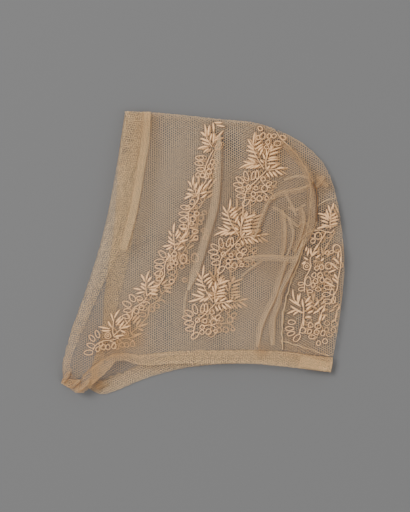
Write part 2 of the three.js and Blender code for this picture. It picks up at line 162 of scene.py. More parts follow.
def add_net(bm, cloth, side, hole, seed, turn=0.0, lift=0.0, keep=lambda x, y: True):
    """One ply of net over one layer of a packed cloth"""
    row = hole * math.sqrt(3) / 2
    size = (cloth.high - cloth.low).length
    columns = 2 * math.ceil(size / hole)
    rows = math.ceil(size / row)
    centre = (cloth.low + cloth.high) / 2
    place = Matrix.Translation((centre.x, centre.y, 0)) @ Matrix.Rotation(turn, 4, "Z")
    steps = grid_steps(bm, columns, rows)
    for v, (i, j) in steps.items():
        tip = hole / (4 * math.sqrt(3)) * (1 if (i + j) % 2 == 0 else -1)
        flat = place @ Vector(((i - columns / 2) * hole / 2, (j - rows / 2) * row + tip, 0))
        v.co = wandered(flat.x, flat.y, seed)
        v.co += Vector((random.uniform(-UNEVEN, UNEVEN), random.uniform(-UNEVEN, UNEVEN), 0))
    open_holes(bm, steps)

    # Each cell once, in an order that is the same on every run, as the next ply's is built on it
    faces = dict.fromkeys(f for v in steps if v.is_valid for f in v.link_faces)
    outside = []
    middles = {}
    for f in faces:
        middles[f] = f.calc_center_median()
        x, y, _ = middles[f]
        if cloth.middle(side, x, y) is None or not keep(x, y):
            outside.append(f)
    bmesh.ops.delete(bm, geom=outside, context="FACES")
    loose = [v for v in steps if v.is_valid and not v.link_faces]
    bmesh.ops.delete(bm, geom=loose, context="VERTS")

    laid = [v for v in steps if v.is_valid]
    inner = []
    for v in laid:
        at = cloth.middle(side, v.co.x, v.co.y)
        if at is None:
            v.co = cloth.rim(side, middles[v.link_faces[0]], v.co)
        else:
            v.co.z = at.z
            if not v.is_boundary:
                inner.append(v)
    for _ in range(SETTLING):
        bmesh.ops.smooth_vert(
            bm,
            verts=inner,
            factor=SETTLING_SHARE,
            use_axis_x=False,
            use_axis_y=False,
            use_axis_z=True,
        )
    for v in laid:
        v.co.z += lift


def finished(name, bm, material):
    """A piece from its mesh, riding on the cap"""
    mesh = bpy.data.meshes.new(name)
    bm.to_mesh(mesh)
    bm.free()
    mesh.shade_smooth()
    piece = bpy.data.objects.new(name, mesh)
    bpy.context.collection.objects.link(piece)
    mesh.materials.append(material)
    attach(piece, "root")
    return piece


def netted(piece, thread):
    """Threads along the sides of the holes, left open where the net is cut"""
    wire = piece.modifiers.new("threads", "WIREFRAME")
    wire.thickness = thread
    wire.use_even_offset = False
    wire.use_boundary = False
    return piece


class Shade:
    """A socket of a material's nodes, on which sums are written as they read"""

    COLOR_MIX_INPUTS = {"Factor": 0, "A": 6, "B": 7}
    COLOR_MIX_OUTPUT = 2

    def __init__(self, tree, socket=None):
        self.tree = tree
        self.socket = socket

    def node(self, kind, settings, inputs, output=0):
        """One of the outputs of a new node, whose settings are made before its inputs"""
        made = self.tree.nodes.new(kind)
        for key, value in settings.items():
            setattr(made, key, value)
        for key, value in inputs.items():
            if kind == "ShaderNodeMix":
                key = self.COLOR_MIX_INPUTS[key]
            if isinstance(value, Shade):
                self.tree.links.new(value.socket, made.inputs[key])
            else:
                made.inputs[key].default_value = value
        return Shade(self.tree, made.outputs[output])

    def math(self, operation, first, second):
        return self.node("ShaderNodeMath", {"operation": operation}, {0: first, 1: second})

    def __add__(self, other):
        return self.math("ADD", self, other)

    def __sub__(self, other):
        return self.math("SUBTRACT", self, other)

    def __rsub__(self, other):
        return self.math("SUBTRACT", other, self)

    def __mul__(self, other):
        return self.math("MULTIPLY", self, other)

    def __truediv__(self, other):
        return self.math("DIVIDE", self, other)

    __radd__ = __add__
    __rmul__ = __mul__

    def clamped(self):
        return self.node("ShaderNodeClamp", {}, {"Value": self})

    def mixed(self, first, second):
        """A colour between two, by this share"""
        return self.node(
            "ShaderNodeMix",
            {"data_type": "RGBA"},
            {"Factor": self, "A": first, "B": second},
            self.COLOR_MIX_OUTPUT,
        )

    def multiplied(self, color, share):
        """This colour, dulled by another to some share"""
        return self.node(
            "ShaderNodeMix",
            {"data_type": "RGBA", "blend_type": "MULTIPLY"},
            {"Factor": share, "A": self, "B": color},
            self.COLOR_MIX_OUTPUT,
        )


def in_plan(x_px, y_px):
    """A pixel's place at the height of the folded edge"""
    return photo_middle + Vector((x_px - PHOTO_WIDTH / 2, PHOTO_HEIGHT / 2 - y_px, 0)) * PIXEL


# Stains: place in the photograph, reach and strength
STAINS = [
    (70, 378, 22, 0.8),
    (66, 381, 7, 1.0),
    (98, 384, 6, 0.9),
    (92, 362, 26, 0.7),
    (122, 342, 26, 0.9),
    (84, 330, 20, 0.5),
    (148, 120, 14, 0.6),
    (140, 150, 20, 0.3),
    (100, 300, 24, 0.4),
    (321, 182, 10, 1.0),
    (338, 252, 10, 0.8),
    (340, 292, 8, 0.6),
    (268, 138, 26, 0.5),
    (136, 337, 8, 0.8),
    (115, 346, 8, 0.7),
    (295, 190, 60, 0.32),
    (305, 290, 70, 0.3),
    (262, 350, 7, 0.9),
    (292, 346, 9, 0.8),
    (308, 350, 8, 0.8),
    (323, 354, 8, 0.8),
    (235, 250, 60, 0.25),
    (288, 160, 26, 0.3),
]
TEA = (0.725, 0.50, 0.28, 1)
BROWN = (0.70, 0.415, 0.18, 1)
# Mixed in by a vertex attribute: painted shade at gaps, creases, folds, embroidery; and soil
SHADE_AND_SOIL_COLOR = (0.38, 0.28, 0.19, 1)
STAIN_FADE = 1.6
STAIN_PATCHES = 60.0
LEAST_STAINED = 0.3
MORE_STAINED = 1.4


def stained(tree):
    """Where the cotton is browned, from 0 to 1, and the place that it is read at"""
    here = Shade(tree).node("ShaderNodeTexCoord", {}, {}, output=3)
    patchy = here.node(
        "ShaderNodeTexNoise", {}, {"Vector": here, "Scale": STAIN_PATCHES, "Detail": 4.0}
    )
    total = 0.0
    for x_px, y_px, reach_px, strength in STAINS:
        spot = in_plan(x_px, y_px)
        flat = here.node(
            "ShaderNodeVectorMath", {"operation": "MULTIPLY"}, {0: here, 1: (1, 1, 0)}
        )
        away = flat.node(
            "ShaderNodeVectorMath",
            {"operation": "DISTANCE"},
            {0: flat, 1: (spot.x, spot.y, 0)},
            output=1,
        )
        total = (1 - away / (STAIN_FADE * reach_px * PIXEL)).clamped() * strength + total
    return here, (total * (LEAST_STAINED + MORE_STAINED * patchy)).clamped()


# Cotton: how much of its grain is pale, how its sides are painted darker as they turn from the
# light, its fuzz and its dull finish
PALE_SHARE = 0.6
SIDES_FROM = 1.2
SIDES_TURN = 1.3
FUZZ = 6000.0
FUZZ_HEIGHT = 0.1e-3
FUZZ_SHARE = 0.4
COTTON_ROUGHNESS = 0.95
COTTON_SHINE = 0.2
COTTON_SHEEN = 0.2


def cotton(name, pale, brown, grain=900.0, mottle=2.6, dark=0.6, stain_share=1.0, sides=None):
    """Undyed cotton in a pale and a stained colour, with a grain that darkens both"""
    material = bpy.data.materials.new(name)
    material.use_nodes = True
    tree = material.node_tree
    surface = tree.nodes["Principled BSDF"]
    here, stain = stained(tree)
    stain = stain * stain_share
    tone = here.node("ShaderNodeTexNoise", {}, {"Vector": here, "Scale": grain, "Detail": 2.0})
    darker = tuple(dark * c for c in pale[:3]) + (1,)
    browner = tuple((dark + 1) / 2 * c for c in brown[:3]) + (1,)
    uneven = ((tone - 0.5) * mottle + PALE_SHARE).clamped()
    color = uneven.mixed(stain.mixed(darker, browner), stain.mixed(pale, brown))
    # Painted shade and soil, read from a vertex attribute, darken the colour
    shade_and_soil = here.node("ShaderNodeAttribute", {"attribute_name": "shade_and_soil"}, {}, output=2)
    color = color.multiplied(SHADE_AND_SOIL_COLOR, shade_and_soil)
    # Painted shade: sides that turn from facing up are darkened towards the side colour
    if sides:
        facing = here.node("ShaderNodeNewGeometry", {}, {}, output=1)
        upward = facing.node(
            "ShaderNodeVectorMath",
            {"operation": "DOT_PRODUCT"},
            {0: facing, 1: (0, 0, 1)},
            output=1,
        )
        color = color.multiplied(sides, (SIDES_FROM - SIDES_TURN * upward).clamped())
    tree.links.new(color.socket, surface.inputs["Base Color"])
    fuzz = here.node("ShaderNodeTexNoise", {}, {"Vector": here, "Scale": FUZZ, "Detail": 2.0})
    bump = here.node(
        "ShaderNodeBump", {}, {"Strength": FUZZ_SHARE, "Distance": FUZZ_HEIGHT, "Height": fuzz}
    )
    tree.links.new(bump.socket, surface.inputs["Normal"])
    surface.inputs["Roughness"].default_value = COTTON_ROUGHNESS
    surface.inputs["Specular IOR Level"].default_value = COTTON_SHINE
    surface.inputs["Sheen Weight"].default_value = COTTON_SHEEN
    return material


tulle = cotton("cotton_tulle", TEA, BROWN)
side_net = Laid("side_net", SIDE_NET_SOLID)
nets = {}


def at_crown(x, y):
    """Along the crown's edge, where more of the turned-over net is seen"""
    return side_net.ends_before(x + EDGE_BAND.x, y + EDGE_BAND.y)


for side, side_name in ((NEAR, "near"), (FAR, "far")):
    bm = bmesh.new()
    add_net(bm, side_net, side, HOLE_WIDTH, seed=1 + side, turn=WALES_UP)
    if side == NEAR:
        add_net(
            bm,
            side_net,
            side,
            HOLE_WIDTH,
            seed=3,
            turn=WALES_UP + CROWN_PLY_TURN,
            lift=CROWN_PLY_LIFT,
            keep=at_crown,
        )
    cloth_area = sum(f.calc_area() for f in bm.faces)
    piece = netted(finished("side_net_" + side_name, bm, tulle), NET_THREAD)
    nets[side_name] = piece
    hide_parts("side_net")

# The back of the head is a second piece of the same tulle, folded at the centre back. It is the
# smaller piece, and the fuller side net is gathered to it.
PANEL_SOLID = 1.0e-3
back_panel = Laid("back_panel", PANEL_SOLID)
bm = bmesh.new()
for side in (NEAR, FAR):
    add_net(bm, back_panel, side, HOLE_WIDTH, seed=5 + side, turn=WALES_UP)
cloth_area = sum(f.calc_area() for f in bm.faces)
panel = netted(finished("back_panel_net", bm, tulle), NET_THREAD)
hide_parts("back_panel")

# The hem round the face is a band of doubled net, sewn on flat over the edge of the side net.
# It is 25 mm wide over the head and narrows to the chin.
HEM_SOLID = 1.6e-3
HEM_HOLE = 2.25e-3
HEM_THREAD = 0.36e-3
HEM_PLIES = (-1, 1)
HEM_PLY = 0.35e-3
PLY_TURN = 0.1
FACE_TURN = -0.2
HEM_GRAIN = 1000.0
HEM_MOTTLE = 10.0
HEM_PALE = (0.97, 0.66, 0.335, 1)
# Lines drawn dark in it, in pixels, and how dark they are: painted shade at edges, and stitches
HEM_LINES = [
    [(144.3, 114), (143.5, 140), (139.5, 170), (132.5, 195), (126, 225), (120, 249)],
    [(127, 115), (126, 135), (121, 165)],
]
HEM_LINE_WIDTH = 0.7 * PIXEL
HEM_LINE_SHADE_AND_STITCH = 0.25
LINE_STEP = 1e-3
SHADE_AND_SOIL_FADE = 1.6
hem_cotton = cotton(
    "hem_cotton", HEM_PALE, BROWN, grain=HEM_GRAIN, mottle=HEM_MOTTLE, dark=0.34
)
front_hem = Laid("front_hem", HEM_SOLID)


def drawn(points, step):
    """Points at even steps on a smooth line through these ones"""
    ends = [2 * points[0] - points[1], *points, 2 * points[-1] - points[-2]]
    line = []
    for a, b, c, d in zip(ends, ends[1:], ends[2:], ends[3:]):
        count = max(1, round((c - b).length / step))
        for k in range(count):
            t = k / count
            line.append(
                b
                + (c - a) * 0.5 * t
                + (a - 2.5 * b + 2 * c - 0.5 * d) * t**2
                + (1.5 * (b - c) + 0.5 * (d - a)) * t**3
            )
    return [*line, points[-1]]


def flat_line(stops):
    """A smooth line through these pixels, in plan"""
    return drawn([in_plan(*stop) for stop in stops], LINE_STEP)


def darken(piece, lines, within, strength):
    """Darken the threads of a net near lines of points, as painted shade and soil"""
    marks = KDTree(sum(len(line) for line in lines))
    for line in lines:
        for point in line:
            marks.insert((point.x, point.y, 0), 0)
    marks.balance()
    layers = piece.data.attributes
    layer = layers.get("shade_and_soil") or layers.new("shade_and_soil", "FLOAT", "POINT")
    for v, soil in zip(piece.data.vertices, layer.data):
        away = marks.find((v.co.x, v.co.y, 0))[2]
        soil.value = max(soil.value, strength * min(1, max(0, SHADE_AND_SOIL_FADE - away / within)))


bm = bmesh.new()
for side in (NEAR, FAR):
    for ply in HEM_PLIES:
        add_net(
            bm,
            front_hem,
            side,
            HEM_HOLE,
            seed=9 + side + 3 * ply,
            turn=FACE_TURN + PLY_TURN * ply,
            lift=ply * HEM_PLY,
        )
face_hem = netted(finished("front_hem_net", bm, hem_cotton), HEM_THREAD)
darken(face_hem, [flat_line(line) for line in HEM_LINES], HEM_LINE_WIDTH, HEM_LINE_SHADE_AND_STITCH)
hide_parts("front_hem")

# The hem round the neck is a narrower band of the same doubled net, sewn on flat from one chin
# corner over the nape to the other. Its upper side, its nape end and its crumpled chin ends are
# thicker by two plies.
NECK_TURN = 1.57
NECK_PALE = (1.0, 0.68, 0.35, 1)
THICKER_BY = (2, 3)
THICKER_TOP = 3e-3
NAPE_FROM = in_plan(298, 360).x
# Where the chin ends are crumpled: place and reach, in pixels
CRUMPLED = [(98, 383, 7), (66, 379, 9), (80, 388, 5)]
# Lines along the hem where the threads are darkened: width, how dark, and the pixels they pass
NECK_LINE_WIDTH = 0.6 * PIXEL
NECK_LINE_DARKENING = 0.35
NECK_LINES = [
    [(150, 353), (178, 352.5), (215, 352.3), (250, 352), (281, 353), (300, 356.5), (329, 361.5)],
    [(150, 356), (178, 355.5), (215, 355.3), (250, 355), (281, 356), (300, 359.5), (329, 364)],
    [(165, 358.8), (215, 358.3), (250, 358.3), (281, 359), (300, 362), (329, 366.5)],
]
neck_hem = Laid("neck_hem", HEM_SOLID)


def at_top_or_nape(x, y):
    """Along the upper side, at the nape, and where the chin ends are crumpled"""
    for x_px, y_px, reach_px in CRUMPLED:
        spot = in_plan(x_px, y_px)
        if math.hypot(x - spot.x, y - spot.y) < reach_px * PIXEL:
            return True
    return x > NAPE_FROM or neck_hem.ends_before(x, y + THICKER_TOP)


bm = bmesh.new()
for side in (NEAR, FAR):
    for ply in HEM_PLIES:
        add_net(
            bm,
            neck_hem,
            side,
            HEM_HOLE,
            seed=19 + side + 3 * ply,
            turn=NECK_TURN + PLY_TURN * ply,
            lift=ply * HEM_PLY,
        )
for ply in THICKER_BY:
    add_net(
        bm,
        neck_hem,
        NEAR,
        HEM_HOLE,
        seed=40 + ply,
        turn=PLY_TURN * ply,
        lift=ply * HEM_PLY,
        keep=at_top_or_nape,
    )
neck_cotton = cotton(
    "neck_hem_cotton", NECK_PALE, BROWN, grain=HEM_GRAIN, mottle=HEM_MOTTLE, dark=0.46
)
nape_hem = netted(finished("neck_hem_net", bm, neck_cotton), HEM_THREAD)
darken(nape_hem, [flat_line(line) for line in NECK_LINES], NECK_LINE_WIDTH, NECK_LINE_DARKENING)
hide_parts("neck_hem")

# Where the side net meets the panel, it is gathered into a rolled seam that is whipped over with
# cotton. The seam runs from the neck over the crown and back to the neck on the far side.
SEAM_SOLID = 1.8e-3
STRAND = 0.3e-3
STRAND_OUT = 0.27e-3
WHIP_PITCH = 3.2e-3
WHIP_STEPS = 8
WAVER = 0.9e-3
WAVER_OVER = 12
SCAN_STEP = 1.6e-3
SCAN_ACROSS = 0.4 * SEAM_SOLID
SCANS_A_BEND = 3
gather_seam = Laid("gather_seam", SEAM_SOLID)


def seam_line(side):
    """The seam's middle, found row by row from the crown to the neck"""
    found = []
    y = gather_seam.high.y - SCAN_STEP
    while y > gather_seam.low.y:
        row = []
        for k in range(int((gather_seam.high.x - gather_seam.low.x) / SCAN_ACROSS)):
            place = gather_seam.middle(side, gather_seam.low.x + k * SCAN_ACROSS, y)
            if place is not None:
                row.append(place)
        if row:
            found.append(sum(row, Vector()) / len(row))
        y -= SCAN_STEP
    return found


def corded(name, lines, radius, material):
    """Round threads along lines of points, each line open or closed"""
    curve = bpy.data.curves.new(name, "CURVE")
    curve.dimensions = "3D"
    curve.bevel_depth = radius
    curve.bevel_resolution = 1
    curve.use_fill_caps = True
    for points, closed in lines:
        spline = curve.splines.new("POLY")
        spline.points.add(len(points) - 1)
        for place, point in zip(spline.points, points):
            place.co = (*point, 1)
        spline.use_cyclic_u = closed
    pattern = bpy.data.objects.new(name, curve)
    bpy.context.collection.objects.link(pattern)
    bpy.context.view_layer.update()
    bm = bmesh.new()
    bm.from_mesh(pattern.to_mesh())
    bpy.data.objects.remove(pattern)
    return finished(name, bm, material)


route = [*reversed(seam_line(FAR)), *seam_line(NEAR)]
route = drawn(route[::SCANS_A_BEND] + [route[-1]], WHIP_PITCH / WHIP_STEPS)
strands = []
for start in (0, math.pi):
    strand = []
    for k, point in enumerate(route[1:-1], 1):
        ahead = (route[k + 1] - route[k - 1]).normalized()
        across = ahead.cross(Vector((0, 0, 1))).normalized()
        up = across.cross(ahead)
        angle = start + math.tau * k / WHIP_STEPS
        aside = WAVER * noise.noise(Vector((k / WAVER_OVER, 0, 0)))
        strand.append(
            point
            + across * (aside + STRAND_OUT * math.cos(angle))
            + up * STRAND_OUT * math.sin(angle)
        )
    strands.append((strand, False))
seam = corded("gather_seam_whipping", strands, STRAND, tulle)
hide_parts("gather_seam")

# Folds pressed into the upper layer: a pleat that is stitched down the side, and the creases and
# gathers in front of the panel. Each fold is the same net, lying in three plies.
FOLD_PLIES = (0.4e-3, 0.8e-3, 1.2e-3)
FOLD_ROLL = 1.1e-3
FOLD_HOLE = 1.8e-3
# Painted light: the folds' tulle is paler than the same tulle lying flat
FOLD_LIT_PALE = (1.0, 0.71, 0.40, 1)
FOLD_STEP = 2e-3
# How far the holes' tips stand out of a row, how soon a strip has its full width, and how far
# short of its line it stops
BAND_TIP = 0.17
BAND_ENDS = 6
SHORT_OF_END = 1.001
# Width in pixels, how dark its painted shade is, and the pixels that it passes
FOLDS = {
    "pleat": (8.5, 0, [
        (219.5, 135), (218.7, 150), (218, 170), (216.8, 192), (214, 210), (210.3, 224),
        (205.8, 239), (201.5, 254), (196, 270), (188.5, 290),
    ]),
    "fold_to_neck": (5, 0.15, [
        (286, 260), (280, 276), (274, 296), (265.5, 314), (259.5, 329), (257.5, 347),
    ]),
    "fold_by_seam": (5, 0.15, [
        (303, 240), (296, 258), (288, 276), (280, 292), (277, 306), (272.5, 320), (272, 345),
    ]),
    "ridge": (5, 0.15, [(243, 260), (259, 258), (275, 258), (288, 260), (297, 259)]),
    "seam_band": (8, 0.45, [
        (284, 145), (296, 156), (305, 169), (309.5, 182), (311.5, 200), (312, 220), (307, 236),
        (300, 250),
    ]),
    "arc": (5, 0.35, [
        (254, 239), (261, 220), (268, 203), (277, 195), (288, 192), (300, 190), (309, 186),
    ]),
    "upright": (5, 0.35, [(282, 210), (284, 228), (284, 243), (282, 256)]),
    "upright_by_seam": (5, 0.4, [(301, 208), (303, 222), (300, 236), (294, 252)]),
    "knot": (4.5, 0, [(315, 188), (318.5, 184.5), (322, 180), (324, 176)]),
    "knot_across": (4.5, 0, [(317, 177), (321, 180), (324, 184), (328, 186)]),
    "chin_outer": (4.5, 0, [(63.5, 382), (67, 377), (70, 372)]),
    "chin_middle": (4.5, 0, [(70, 387), (75.5, 384), (80, 380)]),
    "chin_inner": (4.5, 0, [(77, 391), (83, 387), (89, 381)]),
    "chin_far": (5, 0, [(97, 388), (101.5, 384.5), (107, 382)]),
}
# Creases, pressed sharp, with the net drawn close in them and darkened by painted shade
CREASE_WIDTH = 2.1
CREASE_HOLE = 1.1e-3
CREASE_SHADE = 0.25
CREASES = [
    [(187, 291), (185, 303), (184, 317)],
    [(288, 259), (282, 276), (276, 296), (267.5, 314), (261.5, 329), (258.5, 347)],
    [(304, 240), (298, 258), (290, 276), (283, 292), (279.5, 306), (274.5, 320), (274, 345)],
    [(243, 258.5), (259, 256), (275, 256), (288, 257.5), (297, 257)],
    [(254, 239), (261, 219), (268, 202), (277, 194), (288, 191), (300, 189), (309, 185)],
    [(285, 193), (291, 204), (296, 215)],
    [(288, 207), (296, 210), (305, 205)],
    [(272, 207), (280, 211), (290, 219.5), (298, 227)],
    [(298, 227), (303, 222), (308, 226), (313, 234)],
    [(283, 210), (285, 228), (285, 243), (283, 256)],
    [(288, 217), (293, 231), (292, 243), (287, 256)],
    [(302, 208), (304, 222), (301, 236), (295, 252)],
    [(262, 261), (252, 268), (241, 277)],
    [(311, 178), (298, 176), (284, 180)],
    [(299, 243), (303, 237), (309, 232), (316, 229.5)],
]
# Painted shade in gaps behind the folds, where no light comes: the width and pixels each passes
GAPS = [
    (1.6, [(313, 184), (316, 193), (316.8, 205), (316.8, 220)]),
    (1.6, [(287, 283), (284, 291), (282, 300)]),
    (1.1, [
        (222.8, 135), (222.2, 150), (221.8, 170), (220.6, 192), (218.1, 210), (214.5, 224),
        (210, 239), (205.4, 255), (201, 268),
    ]),
]
GAP_SHADE = 0.9
# The edge of a fold that is turned away from the light is darkened: painted shade
AWAY_FROM_LIGHT = Vector((0.86, -0.5, 0))
SHADE_RISE = 6
SHADE_FROM = 2


def seen_on_top(x_px, y_px):
    """The place on the cap's upper side that the camera sees at a pixel, or beside it over a gap"""
    eye = camera.location
    for aside_px in (0, 1, -1, 2, -2):
        ahead = (in_plan(x_px + aside_px, y_px) - eye).normalized()
        cloths = (side_net, back_panel, front_hem, neck_hem, gather_seam)
        hits = [cloth.tree.ray_cast(eye, ahead)[0] for cloth in cloths]
        hits = [hit for hit in hits if hit is not None]
        if hits:
            return max(hits, key=lambda hit: hit.z)
    return None


def line_on_top(stops):
    """A smooth line on the cap's upper side through these pixels"""
    return drawn([seen_on_top(*stop) for stop in stops], FOLD_STEP)


def add_band(bm, width, line, hole, lift, fold_shade=0, roll=FOLD_ROLL, tip_share=0.3):
    """A strip of net on the upper side, raised along its middle and narrower at its ends"""
    row = hole * math.sqrt(3) / 2
    length = (len(line) - 1) * (line[1] - line[0]).length
    columns = 2 * math.ceil(length / hole)
    rows = max(2, round(width / row))
    shade_and_soil = bm.verts.layers.float["shade_and_soil"]
    steps = grid_steps(bm, columns, rows)
    for v, (i, j) in steps.items():
        tip = 0 if j in (0, rows) else BAND_TIP * (1 if (i + j) % 2 == 0 else -1)
        across = (j + tip) / rows - 0.5
        at = min(i / columns * (len(line) - 1), len(line) - SHORT_OF_END)
        here = line[int(at)].lerp(line[int(at) + 1], at % 1)
        ahead = line[int(at) + 1] - line[int(at)]
        aside = Vector((-ahead.y, ahead.x, 0)).normalized()
        end = min(1, BAND_ENDS * min(i, columns - i) / columns + tip_share)
        v.co = here + aside * width * end * across
        v.co.z += lift + roll * math.cos(math.pi * across)
        # Painted shade: darker on the side turned away from the light, at least by the strip's
        # share
        shaded = SHADE_RISE * across * aside.dot(AWAY_FROM_LIGHT) - SHADE_FROM
        v[shade_and_soil] = min(1, max(fold_shade, shaded))
    open_holes(bm, steps)


bm = bmesh.new()
bm.verts.layers.float.new("shade_and_soil")
# Painted shade on the gathers and creases, by each strip's own share
for width_px, fold_shade, stops in FOLDS.values():
    line = line_on_top(stops)
    for lift in FOLD_PLIES:
        add_band(bm, width_px * PIXEL, line, FOLD_HOLE, lift, fold_shade)
for stops in CREASES:
    line = line_on_top(stops)
    add_band(bm, CREASE_WIDTH * PIXEL, line, CREASE_HOLE, FOLD_PLIES[-1], CREASE_SHADE)
cloth_area = sum(f.calc_area() for f in bm.faces)
# Painted light: a paler copy of the tulle for the folds
lit_folded_tulle = cotton("lit_folded_tulle", FOLD_LIT_PALE, BROWN)
folds = netted(finished("side_net_folds", bm, lit_folded_tulle), NET_THREAD)
# Painted shade along the gaps, on every piece that they cross
for width_px, stops in GAPS:
    line = flat_line(stops)
    for piece in (nets["near"], folds, panel, seam):
        darken(piece, [line], width_px * PIXEL, GAP_SHADE)

# The raw edges of the hems are turned in, and more plies lie there: in a strip along the inner side
# of the face hem, and at the nape ends of the neck hem. Small running stitches hold them flat.
TURNING_PLIES = (0.1e-3, 0.4e-3, 0.7e-3)
TURNING_ROLL = 0.3e-3
TURNING_HOLE = 1.5e-3
TURNED_IN_PALE = (1.0, 0.69, 0.35, 1)
# Width and the pixels that each passes
TURNINGS = [
    (8.5, [
        (147.2, 112), (146.8, 125), (145.3, 145), (142.5, 160), (135.8, 200), (129.3, 228),
        (123, 250),
    ]),
    (10.5, [(300, 361), (309, 362.6), (320, 364.8), (331.5, 367)]),
]
bm = bmesh.new()
bm.verts.layers.float.new("shade_and_soil")
for width_px, stops in TURNINGS:
    line = line_on_top(stops)
    for lift in TURNING_PLIES:
        add_band(bm, width_px * PIXEL, line, TURNING_HOLE, lift, roll=TURNING_ROLL, tip_share=1)
cloth_area = sum(f.calc_area() for f in bm.faces)
turned_in_cotton = cotton(
    "turned_in_cotton", TURNED_IN_PALE, BROWN, grain=HEM_GRAIN, dark=0.7, stain_share=0.4
)
turnings = netted(finished("hem_turnings", bm, turned_in_cotton), HEM_THREAD)

# Sprays of leaves and loops are worked on the net in thick soft cotton, in two rows that slant
# down the side and in a third on the panel. A leaf is a close bundle of long stitches, a loop or a
# stem is one cord. Both layers have them, and those of the lower one show through the net.
LEAF_WIDTH = 2.2
LEAF_WIDTHS = (0.85, 1.1)
LEAF_LONGER = 0.12
LEAF_RISE = 0.75e-3
LEAF_UP = 0.7
LEAF_TAPER = 0.3
LEAF_BOW = 0.07
LEAF_AROUND = 8
LEAF_ALONG = 6
TIP_SWAY = 0.4
CORD = 0.42e-3
CORD_UP = 0.8e-3
STEM_STEP = 2
LOOP_POINTS = 12
LOOP_LEAN = 5
LOOP_EGG = 0.2
EMBROIDERY_PALE = (1.0, 0.61, 0.30, 1)
# Painted shade colour for the sides of the embroidery
SIDE_SHADE_COLOR = (0.78, 0.58, 0.40, 1)
# Painted shade: the net round the worked threads is darkened, as in their shadow
WORKED_OVER = 1.9
WORKED_SHADE = 0.36
# The lower layer has slid out of line with the upper one, from the crown to the neck
FAR_SLIDE = Vector((17.5, -2))
SLIDE_FROM = 120
SLIDE_TO = 335

# Leaves of a fan or plume: root x, root y, tip x, tip y, in pixels from the joint of its stems
PLUME = [
    (-10.5, -26, -9, -37.5), (-12, -23, -16.5, -30.5), (-11, -19.5, -17, -23.5),
    (-8, -15.5, -18.5, -18.5), (-8, -11.5, -16, -14), (-9, -7, -16.5, -11.5),
    (-11, -5.5, -21.5, -8.5), (-10, -5.5, -25.5, 0), (-11, -4, -19, -0.5), (-8, -3.5, -14, 0),
    (-4, -4, -9.5, -0.5), (-9.5, -24, -3, -29), (-8.5, -20, -1, -25.5), (-6, -18, -1, -23),
    (-4, -14, -0.5, -21), (6.5, -19, 8.5, -24), (6, -17.5, 17, -21.5), (6, -14, 14.5, -17),
    (5, -10.5, 13, -12.5), (4, -8, 13.5, -9.5), (4, -5, 13, -6), (7, -1, 13.5, -5), (3, 0, 6, -4),
    (3, -12, 2.5, -20.5), (1, -10, -1, -16), (-0.5, -6, -4.5, -9), (13, 0, 21, -1),
    (12, 1.5, 19.5, 6.5), (9, 3, 14, 8), (5.5, 3, 9, 8.5), (2.5, 4.5, 5.5, 9),
]
